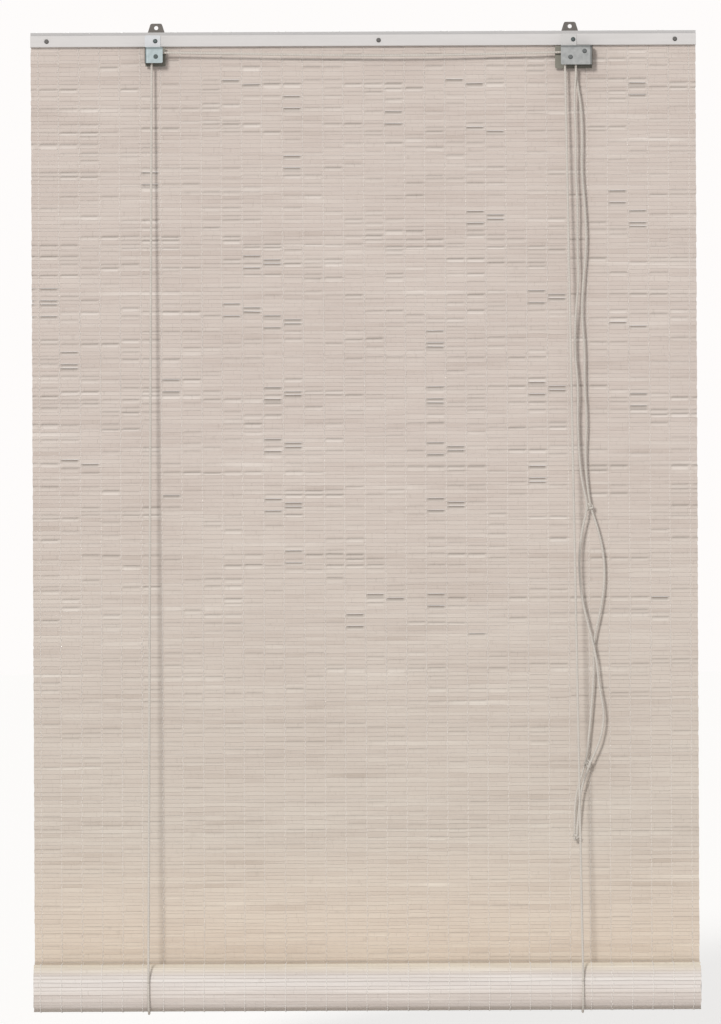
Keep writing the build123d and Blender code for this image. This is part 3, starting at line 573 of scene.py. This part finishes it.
def bamboo_finish(name, in_roll=False):
    """Colour is the slat's tone with streaks along the grain, and painted shade in the bare wood colour.

    The painted shade lies along some lines between slats and in the slits; the bare wood colour also marks
    the cane's joints. The hanging mat gets warmer lower down, with painted light just above the roll and
    painted shade where it meets the roll. The roll is paler still, most in a painted highlight band, with
    painted light on its upper shoulder and painted shade as a dark line in its crease and along its
    underside.
    """
    finish = Finish(name, (0.64, 0.57, 0.51), 0.62, specular=0.35)
    tone = finish.value("tone")
    bare = finish.value("bare")
    streak = finish.noise((9, 700, 700), 4.0, 0.6)
    cloud = finish.noise((5, 14, 14), 2.0)
    # the cane's joints show as thin rings, at other places on each slat
    ring = (finish.axis("X") * 3.9 + tone * 17.0).join("FRACT").near(0.5, 0.0111)
    wash = finish.ramp(
        tone * 0.62 + streak * 0.5 + cloud * 0.22 - 0.17,
        (0.12, (0.462, 0.391, 0.344)), (0.42, (0.573, 0.500, 0.454)),
        (0.66, (0.623, 0.555, 0.506)), (0.95, (0.772, 0.711, 0.661)),
    )
    z = finish.axis("Z")
    if in_roll:
        # painted shade in the crease and along the underside, a painted highlight band and painted light on
        # the upper shoulder
        crease = z.past(*CREASE_SHADE)
        dark = crease * 0.65 + z.past(*UNDERSIDE_SHADE) * 0.75
        wash = finish.times(0.35 + z.near(ROLL_HIGHLIGHT, 0.0143) * 0.65, wash, (1.135, 1.20, 1.25))
        wash = finish.times(z.past(*LIT_SHOULDER) * (1 - crease), wash, (1.21, 1.21, 1.10))
        wash = finish.times(dark, wash, (0.60, 0.57, 0.53))
    else:
        # warmer lower down, then painted light just above the roll and painted shade where the mat meets it
        wash = finish.times(z.past(*WARMER), wash, (0.98, 1.0, 0.955))
        wash = finish.times(z.past(*PALER), wash, (1.13, 1.085, 1.045))
        wash = finish.times(z.past(*IN_SHADE), wash, (0.80, 0.79, 0.77))
    # bare holds painted shade along lines between slats and in the slits; the rings are the cane's joints
    worn = (bare + ring * 0.12).join("MINIMUM", 1.0)
    finish.feed("Base Color", finish.mixed(worn, wash, BARE_WOOD_AND_SHADE))
    finish.feed("Roughness", 0.52 + streak * 0.25)
    finish.relief(streak + ring * 0.8, 0.00022, 0.9)
    return finish


bamboo = bamboo_finish("whitewashed bamboo")
rolled_bamboo = bamboo_finish("whitewashed bamboo in the roll", in_roll=True)

# %% Slats
# the eight points of a slat's section: how far up, how far out, and where painted shade in the bare wood
# colour goes
FRACTION = np.array([0, 0.02, 0.5, 0.98, 1, 0.98, 0.5, 0.02])
DEPTH = np.array([0, 0.95, 1, 0.95, 0, -0.95, -1, -0.95])
LOW_EDGE = np.array([1, 0.9, 0, 0, 0, 0, 0, 0.9])
HIGH_EDGE = np.array([0, 0, 0, 0.9, 1, 0.9, 0, 0])
UPPER_HALF = np.array([0, 0, 0.45, 0.95, 0.95, 0.95, 0.45, 0])


def slats(name, x, low, high, out, thick, tone, shade_low, shade_high, slit_shade=0.0):
    """Strips whose section goes once round: low + f (high - low) + out d, for f from 0 to 1 and back.

    low and high are (slat, station, 2) places in Y and Z, and d is the half thickness times a crown that
    is full in the middle and nothing at the edges. The numbers for tone and for painted shade, kept as
    bare, go round with it.
    """
    section = low[:, :, None] + FRACTION[:, None] * (high - low)[:, :, None]
    section = section + out[:, :, None] * (DEPTH[:, None] * (thick / 2)[:, None, None, None])
    along = np.broadcast_to(x[..., None, None], section.shape[:3] + (1,))
    grid = np.concatenate([along, section], axis=-1)
    # bare is painted shade: along some lines between slats, and under a slit over the slat's upper half
    bare = shade_low[..., None] * LOW_EDGE + shade_high[..., None] * HIGH_EDGE
    bare = np.maximum(bare, np.asarray(slit_shade)[..., None] * UPPER_HALF)
    tones = np.broadcast_to(tone[..., None], bare.shape)
    return skin(name, grid, smooth=False, values={"tone": tones, "bare": bare})


def wander(rows, x, size, waves=(2.0, 9.0), count=4):
    """A sum of a few sines along x for each row, each with its own wavelength and start."""
    k = rng.uniform(*waves, (rows, 1, count))
    start = rng.uniform(0, 2 * pi, (rows, 1, count))
    share = rng.normal(0, 1, (rows, 1, count)) / count ** 0.5
    return size * (np.sin(2 * pi * k * x[None, :, None] + start) * share).sum(-1)


# %% [markdown]
# ## The hanging mat
# Yarn columns stand 27.5 mm apart and pinch the slats together. Between two columns some slats have
# spread and leave a slit. The slits lie at the places that the CAD model gives them, as groups of one to
# three cells.

# %% Hanging mat
SLATS = 238
CELLS = 32
CELL = 0.0275
PITCH = (MAT_TOP - MAT_BOTTOM) / SLATS
columns = (np.arange(CELLS + 1) - CELLS / 2) * CELL
# along a slat: its end, each column with two places in the cell beside it, the last column, its other end
in_cell = CELL * np.array([0, 0.16, 0.84])
stations = np.r_[-HALF_WIDTH, (columns[:-1, None] + in_cell).ravel(), columns[-1], HALF_WIDTH]

# %% Slits
# thousandths across and down, then cells wide and rows tall, as in the CAD source
SLIT_SPOTS = (
    (-182, 48, 2, 1), (-112, 62, 1, 2), (152, 48, 2, 1), (426, 49, 1, 2), (33, 78, 1, 2),
    (194, 97, 2, 1), (-343, 141, 1, 2), (-98, 125, 1, 2), (-167, 230, 2, 2), (-491, 264, 1, 4),
    (194, 184, 2, 2), (402, 162, 1, 2), (432, 185, 1, 3), (-183, 280, 2, 2), (270, 267, 2, 2),
    (-114, 294, 2, 2), (401, 304, 2, 1), (101, 310, 1, 3), (-438, 330, 1, 3), (-284, 362, 1, 2),
    (-115, 368, 2, 2), (116, 369, 1, 3), (269, 366, 2, 2), (424, 380, 1, 2), (-115, 426, 2, 2),
    (139, 427, 2, 2), (277, 453, 1, 3), (-445, 446, 2, 1), (-116, 486, 2, 2), (139, 486, 2, 2),
    (-284, 483, 1, 1), (38, 589, 2, 1), (-100, 541, 1, 2), (99, 590, 1, 2), (-24, 608, 1, 2),
    (176, 632, 1, 1), (438, 591, 1, 1),
)


def slit_marks():
    """Which cells of which grooves have spread open: an array of zeros and ones, (groove, cell)."""
    marks = np.zeros((SLATS + 1, CELLS))
    for across, down, cells, rows in SLIT_SPOTS:
        first_cell = round(CELLS * across / 1000 - cells / 2) + CELLS // 2
        first_row = round(SLATS * down / 1000)
        for cell in range(cells):
            for row in range(rows):
                marks[first_row + 2 * row + (cell + row) % 2, first_cell + cell] = 1
    return marks


def by_cell(cells, at_column):
    """Cell values at the stations; at a column, the mean of the cells on both sides times at_column."""
    padded = np.pad(cells, ((0, 0), (1, 1)), mode="edge")
    spread = np.zeros((len(cells), len(stations)))
    spread[:, 2:-2:3] = cells
    spread[:, 3:-1:3] = cells
    spread[:, 1:-1:3] = (padded[:, 1:] + padded[:, :-1]) / 2 * at_column
    spread[:, 0], spread[:, -1] = cells[:, 0], cells[:, -1]
    return spread


marks = slit_marks()
open_at = by_cell(marks, 0)
print("slits:", int(marks.sum()))

# %% Lines between the slats
WAVER = 0.00022             # how far a line wanders up and down
JOG = 0.00042               # how far it jumps from cell to cell
CRACK = (0.00001, 0.00005)  # half of what it gapes, from the closest slats to the loosest
SPREAD = 0.00016            # half of what it gapes at a slit, besides
PINCH = 0.35                # share of a loose gap that is left under the yarn

height = rng.uniform(0.74, 1.26, SLATS)
near_slit = marks.any(axis=1)
near_slit[[0, -1]] = True
# slats differ in height, but the lines with slits keep the places that the CAD model gives them
fixed = np.flatnonzero(near_slit)
edge = np.r_[0, np.cumsum(height)]
edge = np.interp(edge, edge[fixed], fixed * PITCH)
jog = rng.normal(0, JOG, (SLATS + 1, CELLS))
wave = wander(SLATS + 1, stations, WAVER) + np.where(near_slit[:, None], 0, by_cell(jog, 0.5))
wave[[0, -1]] = 0
pinch = np.ones(len(stations))
pinch[1:-1:3] = PINCH
loose = rng.random((SLATS + 1, 1)) ** 3 * pinch
gape = CRACK[0] + (CRACK[1] - CRACK[0]) * loose + SPREAD * open_at
# painted shade in the bare wood colour darkens the line between two slats in some cells, in fewer of them
# lower down
mixed_cells = rng.random((SLATS + 1, CELLS)) * 0.75 + rng.random((SLATS + 1, 1)) * 0.25
mixed_cells[:, 1:] = mixed_cells[:, 1:] * 0.65 + mixed_cells[:, :-1] * 0.35
down = np.arange(SLATS + 1)[:, None] / SLATS
fade = np.interp(down, (0, 0.04, 0.55, 0.72, 1), (0.5, 1.25, 1.25, 0.55, 0.4))
groove_shade = by_cell(fade * 0.62 * np.clip(mixed_cells * 2.9 - 1.5, 0, 1) ** 1.5, 0.2)

# %% Slats of the hanging mat
BOW = 0.0005                # how far the mat bows out, three times down its height
SET_BACK = 0.0013           # how far a slat's top lies back under a slit
LEAN = 0.00012              # how far a slat tips over
RAGGED = 0.0007             # how unevenly the slats end

set_back = SET_BACK * open_at
bow = BOW * np.sin(3 * pi * down) ** 2
edge_y = np.broadcast_to(MAT_Y - bow, wave.shape)
edge_z = MAT_TOP - edge[:, None] + wave
lean = rng.normal(0, LEAN, (SLATS, 1))
high = np.stack([edge_y[:-1] + set_back[:-1] + lean, edge_z[:-1] - gape[:-1]], axis=-1)
low = np.stack([edge_y[1:] - lean, edge_z[1:] + gape[1:]], axis=-1)
out = np.broadcast_to([-1.0, 0.0], low.shape)
thick = SLAT_THICK * rng.uniform(0.82, 1.0, SLATS)
tone = rng.normal(0.5, 0.05, (SLATS, 1)) + wander(SLATS, stations, 0.12, (1, 6))
tone = tone + by_cell(rng.normal(0, 0.045, (SLATS, CELLS)), 1.0)
# painted highlight: a slat beside a slit or a dark line gets a paler tone, as if it stood out and caught the
# light on its lower half
tone = np.clip(tone + 0.5 * open_at[:-1] + 0.6 * groove_shade[:-1], 0.02, 0.98)
ends = np.tile(stations, (SLATS, 1))
ends[:, 0] += rng.uniform(0, RAGGED, SLATS)
ends[:, -1] -= rng.uniform(0, RAGGED, SLATS)

THIRDS = (("upper", 0, 80), ("middle", 80, 160), ("lower", 160, 238))
mat_pieces = []
for word, a, b in THIRDS:
    part = slice(a, b)
    piece = slats(
        f"{word}_mat_slats", ends[part], low[part], high[part], out[part], thick[part], tone[part],
        shade_low=0.6 * groove_shade[1:][part], shade_high=groove_shade[:-1][part], slit_shade=open_at[:-1][part],
    )
    mat_pieces.append(dress(piece, bamboo))
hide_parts("hanging_mat")
print("slats:", SLATS)

# %% [markdown]
# ## The rolled mat
# The rest of the mat is wound on the rod. Its line is a spiral, and each slat is a flat chord of it. Only
# the ends show the inner turns, so the slats in the roll have a station at each yarn column and no more.

# %% Rolled mat
ROLL_R = 0.0342
TURNS = 5
STEP = 0.00442              # how far one turn lies inside the next
OUTER = 46                  # slats of the outer turn and a little more, the only ones with yarn
ROLL_WAVER = 0.0002         # how far a line between two slats wanders
ROLL_CRACK = (0.00002, 0.00007)
SPIRAL_R = ROLL_R - SLAT_THICK / 2
roll_length = 2 * pi * TURNS * (SPIRAL_R - TURNS * STEP / 2)
ROLL_SLATS = round(roll_length / PITCH)
shrink = STEP / (2 * pi)


def spiral(arc):
    """Y and Z at an arc length from the outer end: the turn t solves arc = R t - shrink t squared / 2."""
    t = (SPIRAL_R - np.sqrt(SPIRAL_R ** 2 - 2 * shrink * arc)) / shrink
    r = SPIRAL_R - shrink * t
    return np.stack([ROLL[1] + r * np.cos(t), ROLL[2] - r * np.sin(t)], axis=-1), t


roll_x = np.r_[-HALF_WIDTH, columns, HALF_WIDTH]
roll_edge = np.cumsum(np.r_[0, rng.uniform(0.8, 1.2, ROLL_SLATS)])
roll_edge *= roll_length / roll_edge[-1]
roll_wave = wander(ROLL_SLATS + 1, roll_x, ROLL_WAVER)
roll_gape = rng.uniform(*ROLL_CRACK, (ROLL_SLATS + 1, 1))
spot, angle = spiral(np.clip(roll_edge[:, None] + roll_wave + roll_gape, 0, roll_length))
spot_end, _ = spiral(np.clip(roll_edge[:, None] + roll_wave - roll_gape, 0, roll_length))
middle = (angle[:-1] + angle[1:]) / 2
outward = np.stack([np.cos(middle), -np.sin(middle)], axis=-1)
# painted shade along a few lines between slats in the roll
roll_groove_shade = np.tile(0.15 * rng.random((ROLL_SLATS + 1, 1)) ** 3, len(roll_x))
roll_tone = rng.normal(0.80, 0.08, (ROLL_SLATS, 1)) + wander(ROLL_SLATS, roll_x, 0.10, (1, 5))
roll_ends = np.tile(roll_x, (ROLL_SLATS, 1))
roll_ends[:, 0] += rng.uniform(0, 2 * RAGGED, ROLL_SLATS)
roll_ends[:, -1] -= rng.uniform(0, 2 * RAGGED, ROLL_SLATS)
roll_thick = SLAT_THICK * rng.uniform(0.85, 1.0, ROLL_SLATS)
rolled = slats(
    "rolled_slats", roll_ends, spot[:-1], spot_end[1:], outward, roll_thick,
    np.clip(roll_tone, 0.02, 0.98), shade_low=roll_groove_shade[:-1], shade_high=roll_groove_shade[1:],
)
dress(rolled, rolled_bamboo, "roll")
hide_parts("rolled_mat")
print("slats in the roll:", ROLL_SLATS)

# %% [markdown]
# ## Yarn
# Two yarns run down each column and twist between the slats, so that each slat has one yarn in front of
# it and one behind. Seen from the front this is a column of small stitches. With 33 columns a yarn has
# only three sides and three points a slat, and one pair of yarns is copied to every column.

# %% Yarn columns
yarn = Finish("yarn", (0.84, 0.81, 0.77), 0.9, specular=0.2)
fluff = yarn.noise((900, 900, 900), 2.0)
yarn.feed("Base Color", yarn.mixed(fluff, (0.76, 0.72, 0.68), (0.95, 0.93, 0.90)))
yarn.relief(fluff, 0.0002)

PHASE = np.array([0.02, 0.30, 0.70])        # where the yarn has points on a slat, as shares of its height
STAND_OFF = np.array([0.35, 1.0, 1.0])      # and how far it stands off there
YARN_R = 0.00050
YARN_DRIFT = 0.0005                         # how far it drifts to each side
YARN_AHEAD = 0.0002                         # how far the pair's middle lies in front of the mat's


def twisted(centre, outward, rows, side):
    """Yarn lines: at place p of slat s the yarn stands off the mat by side times (-1)^s times w(p).

    w is 1 over the slat and less between two slats. centre is (slat, place, 2) in Y and Z, and outward is
    the way that the yarn stands off. Sideways it drifts by side times the cosine of pi (s + p).
    """
    row = np.arange(rows)[:, None]
    swing = side * (-1.0) ** row * STAND_OFF
    place = centre + outward * (swing * (SLAT_THICK / 2 + YARN_R * 0.8))[..., None]
    drift = YARN_DRIFT * side * np.cos(pi * (row + PHASE))
    return place.reshape(-1, 2), drift.ravel()


def yarn_piece(name, centre, outward, rows, body):
    """Every column's two yarns as three-sided tubes, copied from one pair by shifting it along x."""
    strands = []
    for side in (1, -1):
        place, drift = twisted(centre, outward, rows, side)
        line = np.concatenate([drift[:, None], place], axis=-1)
        tube = carried(line, YARN_R, 3, (1, 0.02, 0.01))
        shift = np.zeros((len(columns), 1, 1, 3))
        shift[:, 0, 0, 0] = columns + rng.normal(0, 0.0004, len(columns))
        strands.append(tube[None] + shift)
    return dress(skin(name, np.concatenate(strands)), yarn, body)


below_top = edge[:-1, None] + PHASE * np.diff(edge)[:, None]
hang = np.stack([np.full(below_top.shape, MAT_Y - YARN_AHEAD), MAT_TOP - below_top], axis=-1)
for word, a, b in THIRDS:
    flat_out = np.broadcast_to([-1.0, 0.0], hang[a:b].shape)
    mat_pieces.append(yarn_piece(f"{word}_yarn", hang[a:b], flat_out, b - a, "root"))

arcs = roll_edge[:OUTER, None] + PHASE * np.diff(roll_edge)[:OUTER, None]
wound, turn = spiral(arcs)
wound_out = np.stack([np.cos(turn), -np.sin(turn)], axis=-1)
yarn_piece("rolled_yarn", wound, wound_out, OUTER, "roll")

# %% [markdown]
# ## Paint, wood and steel
# The rail is painted white, with brush marks along the wood, and its rear lath gets a greyer copy of
# the same paint as painted shade. The lock is bright zinc, the pulley bracket has a bluish plating, the
# hanging ears are dull brown steel, and the screws are darker still. The forks carry a painted shadow
# under the lath and painted shade on their inner sides. The CAD model's own solids have the right shapes,
# so they stay and only get a finish, made from Object coordinates alone.

# %% Hard finishes
FORK_TOP = box_of("rear_lath")[1][2] - 0.0212       # both forks start 21.2 mm below the rail's top
FORK_INSIDE = (-0.03885, -0.0215)                   # Y of their inner sides, with a little to spare
# painted shade on the forks' inner sides
FORK_SHADE = (0.135, 0.13, 0.11)


def painted(name, dark, light):
    """White paint between two tones: brush marks are noise drawn out along the lath."""
    finish = Finish(name, light, 0.42, specular=0.4)
    brush = finish.noise((7, 900, 500), 4.0, 0.6)
    grime = finish.noise((16, 60, 60), 5.0, 0.65)
    tint = finish.mixed(brush * 0.5 + grime * 0.5, dark, light)
    finish.feed("Base Color", tint)
    finish.feed("Roughness", 0.36 + brush * 0.2)
    finish.relief(brush, 0.00012, 0.8)
    return finish


def plated(name, dark, light, roughness, metallic=0.85, strap=None):
    """Plated sheet: blotches of two tones, with fine scratches drawn out across the piece.

    A folded fork has a paler strap above it, a painted shadow under the lath, and painted shade on its inner
    side.
    """
    finish = Finish(name, light, roughness, metallic=metallic)
    blotch = finish.noise((170, 170, 170), 4.0, 0.6)
    fine = finish.noise((260, 4000, 2200), 3.0, 0.6)
    plating_and_shade = finish.mixed(blotch * 0.8 + fine * 0.35 - 0.1, dark, light)
    if strap:
        y = finish.axis("Y")
        z = finish.axis("Z")
        # painted shadow of the lath across the fork, and painted shade on its inner side
        lath_shadow = z.near(FORK_TOP - 0.0013, 0.00238)
        inside = y.join("GREATER_THAN", FORK_INSIDE[0]) * y.join("LESS_THAN", FORK_INSIDE[1])
        plating_and_shade = finish.mixed(z.past(FORK_TOP + 0.00044, FORK_TOP + 0.00156), plating_and_shade, strap)
        plating_and_shade = finish.mixed(lath_shadow * 0.75, plating_and_shade, [c * 0.35 for c in dark])
        plating_and_shade = finish.mixed(inside * z.join("LESS_THAN", FORK_TOP), plating_and_shade, FORK_SHADE)
    finish.feed("Base Color", plating_and_shade)
    finish.feed("Roughness", roughness - 0.1 + blotch * 0.2)
    finish.relief(blotch * 0.6 + fine * 0.4, 0.00006, 0.7)
    return finish


def bare_wood():
    """Bare wood: rings round the rod's own axis show at its ends, and streaks run along it."""
    finish = Finish("bare wood", (0.56, 0.41, 0.26), 0.7, specular=0.3)
    settings = {"wave_type": "RINGS", "rings_direction": "X"}
    inputs = {"Vector": finish.places(shift=-ROLL), "Scale": 130.0, "Distortion": 2.5, "Detail": 2.0}
    rings = finish.node("ShaderNodeTexWave", settings, inputs, output="Fac")
    streak = finish.noise((6, 400, 400), 4.0)
    share = rings * 0.5 + streak * 0.5
    finish.feed("Base Color", finish.mixed(share, (0.40, 0.27, 0.15), (0.68, 0.53, 0.36)))
    finish.relief(rings + streak, 0.0001)
    return finish


paint = painted("white painted wood", (0.54, 0.525, 0.515), (0.69, 0.675, 0.67))
# painted shade: the rear lath gets a greyer copy of the white paint
paint_in_painted_shade = painted("greyer painted wood", (0.44, 0.435, 0.43), (0.56, 0.55, 0.55))
zinc = plated(
    "bright zinc", (0.13, 0.135, 0.135), (0.32, 0.325, 0.32), 0.40, strap=(0.335, 0.33, 0.325),
)
bluish = plated(
    "bluish plated steel", (0.14, 0.17, 0.175), (0.33, 0.375, 0.385), 0.42, strap=(0.335, 0.343, 0.355),
)
brown = plated("dull brown steel", (0.05, 0.044, 0.04), (0.15, 0.14, 0.13), 0.5)
screw_steel = plated("dark screw steel", (0.05, 0.048, 0.046), (0.11, 0.105, 0.10), 0.42)
rivet_steel = plated("rivet steel", (0.03, 0.04, 0.04), (0.09, 0.105, 0.105), 0.42)
lock_rivet_steel = plated("zinc rivet steel", (0.055, 0.06, 0.06), (0.12, 0.125, 0.125), 0.42)
staple_steel = plated("staple wire", (0.45, 0.45, 0.45), (0.66, 0.66, 0.66), 0.35)
wood = bare_wood()
nylon = Finish("pale nylon", (0.62, 0.61, 0.58), 0.38)
haze = nylon.noise((300, 300, 300), 3.0)
nylon.feed("Base Color", nylon.mixed(haze, (0.50, 0.49, 0.46), (0.70, 0.69, 0.665)))
nylon.relief(haze, 0.00005)

NODE_FINISHES = (
    (paint, ("front_lath",)),
    (paint_in_painted_shade, ("rear_lath",)),
    (brown, ("left_ear", "right_ear")),
    (bluish, ("pulley_bracket",)),
    (zinc, ("lock_housing",)),
    (lock_rivet_steel, ("lock_wheel_rivet", "cam_rivet", "lock_cam")),
    (rivet_steel, ("strap_screws", "pulley_rivet")),
    (screw_steel, ("rail_screws", "ear_screws")),
    (staple_steel, ("top_staples", "left_cord_staple", "right_cord_staple")),
    (nylon, ("pulley_wheel", "lock_wheel")),
    (wood, ("bottom_rod",)),
)
for finish, nodes in NODE_FINISHES:
    for node in nodes:
        mesh = frame["nodes"][node].data
        mesh.materials.clear()
        mesh.materials.append(finish.material)
print("CAD nodes with a finish:", sum(len(nodes) for _, nodes in NODE_FINISHES))

# %% [markdown]
# ## Meshes of their own
# The real roll takes up the mat, and the cords run over the wheels. Here the hanging mat, its yarns, the
# taut cords, the pull cords and their knots each get a mesh of their own; how far each would have to
# flatten is worked out but not used.


def gathers(piece, held_at, lowest):
    """Give a piece its own mesh. The share of its height that it would keep, for its lowest point to rise as
    far as the roll does, is worked out but not used.
    """
    keep = 1 - TRAVEL / (held_at - lowest)
    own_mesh(piece)


for piece in mat_pieces:
    gathers(piece, MAT_TOP, MAT_BOTTOM)
for side in SLING_X:
    lift = bpy.data.objects[f"{side}_lift_braid"]
    rear = bpy.data.objects[f"{side}_rear_braid"]
    gathers(lift, WHEEL_TOP[side][2], ROLL[2] + SLING_R * np.sin(RISE))
    gathers(rear, ANCHOR[2], ROLL[2])
for piece in (front_pull, rear_pull, upper_knot, lower_knot, end_knot):
    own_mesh(piece)

# %% [markdown]
# ## Light, floor and background
# The photograph is lit softly from the front, a little from the left and from above: the lift cord's
# shadow falls 4 pixels to its right near the top and 12 near the bottom. One broad sun and an even sky
# give that, and a weaker and broader light stands behind the blind. Colours come out about as they are
# written. The background is white to the camera and in reflections, and lights the blind half as strongly.

# %% World
SKY_LIGHT = 0.50            # on the blind, where the camera sees a strength of 1
world = bpy.data.worlds.new("studio")
bpy.context.scene.world = world
world.use_nodes = True
sky = Nodes(world.node_tree)
background = next(n for n in sky.tree.nodes if n.type == "BACKGROUND")
background.inputs["Color"].default_value = (0.992, 0.972, 0.962, 1)
strength = sky.looked_at() * (1 - SKY_LIGHT) + SKY_LIGHT
sky.tree.links.new(strength.socket, background.inputs["Strength"])

# %% Lights and floor
def sun(name, energy, angle, rotation):
    """A broad sun. angle is how wide it looks and rotation turns its beam, both in degrees."""
    data = bpy.data.lights.new(name, "SUN")
    data.energy = energy
    data.angle = radians(angle)
    data.color = (1.0, 0.985, 0.97)
    light = bpy.data.objects.new(name, data)
    light.rotation_euler = [radians(turn) for turn in rotation]
    bpy.context.scene.collection.objects.link(light)


sun("sun in front", energy=1.75, angle=8.5, rotation=(73, 0, -15))
sun("light behind", energy=0.9, angle=25, rotation=(-80, 0, 12))

FLOOR_Z = -1.42
REACH = 30
floor_mesh = bpy.data.meshes.new("floor")
floor_corners = [(x * REACH, y * REACH, FLOOR_Z) for x, y in ((-1, -1), (1, -1), (1, 1), (-1, 1))]
floor_mesh.from_pydata(floor_corners, [], [(0, 1, 2, 3)])
floor = bpy.data.objects.new("floor", floor_mesh)
bpy.context.scene.collection.objects.link(floor)
floor_finish = Finish("pale floor", (0.90, 0.885, 0.875), 0.9, specular=0.0)
floor_glow = floor_finish.mixed(floor_finish.looked_at(), (0, 0, 0), (0.975, 1.0, 1.0))
floor_finish.feed("Emission Color", floor_glow)
floor_finish.shader.inputs["Emission Strength"].default_value = 0.35
floor_mesh.materials.append(floor_finish.material)

# %% [markdown]
# ## Measure and finish
# The dressed blind must stay as large as the CAD model. This cell sets the Standard view transform and
# prints the triangles added.

# %% Finish
bpy.context.scene.view_settings.view_transform = "Standard"
bpy.context.view_layer.update()
print("triangles added:", sum(triangles.values()), "largest piece:", max(triangles, key=triangles.get))
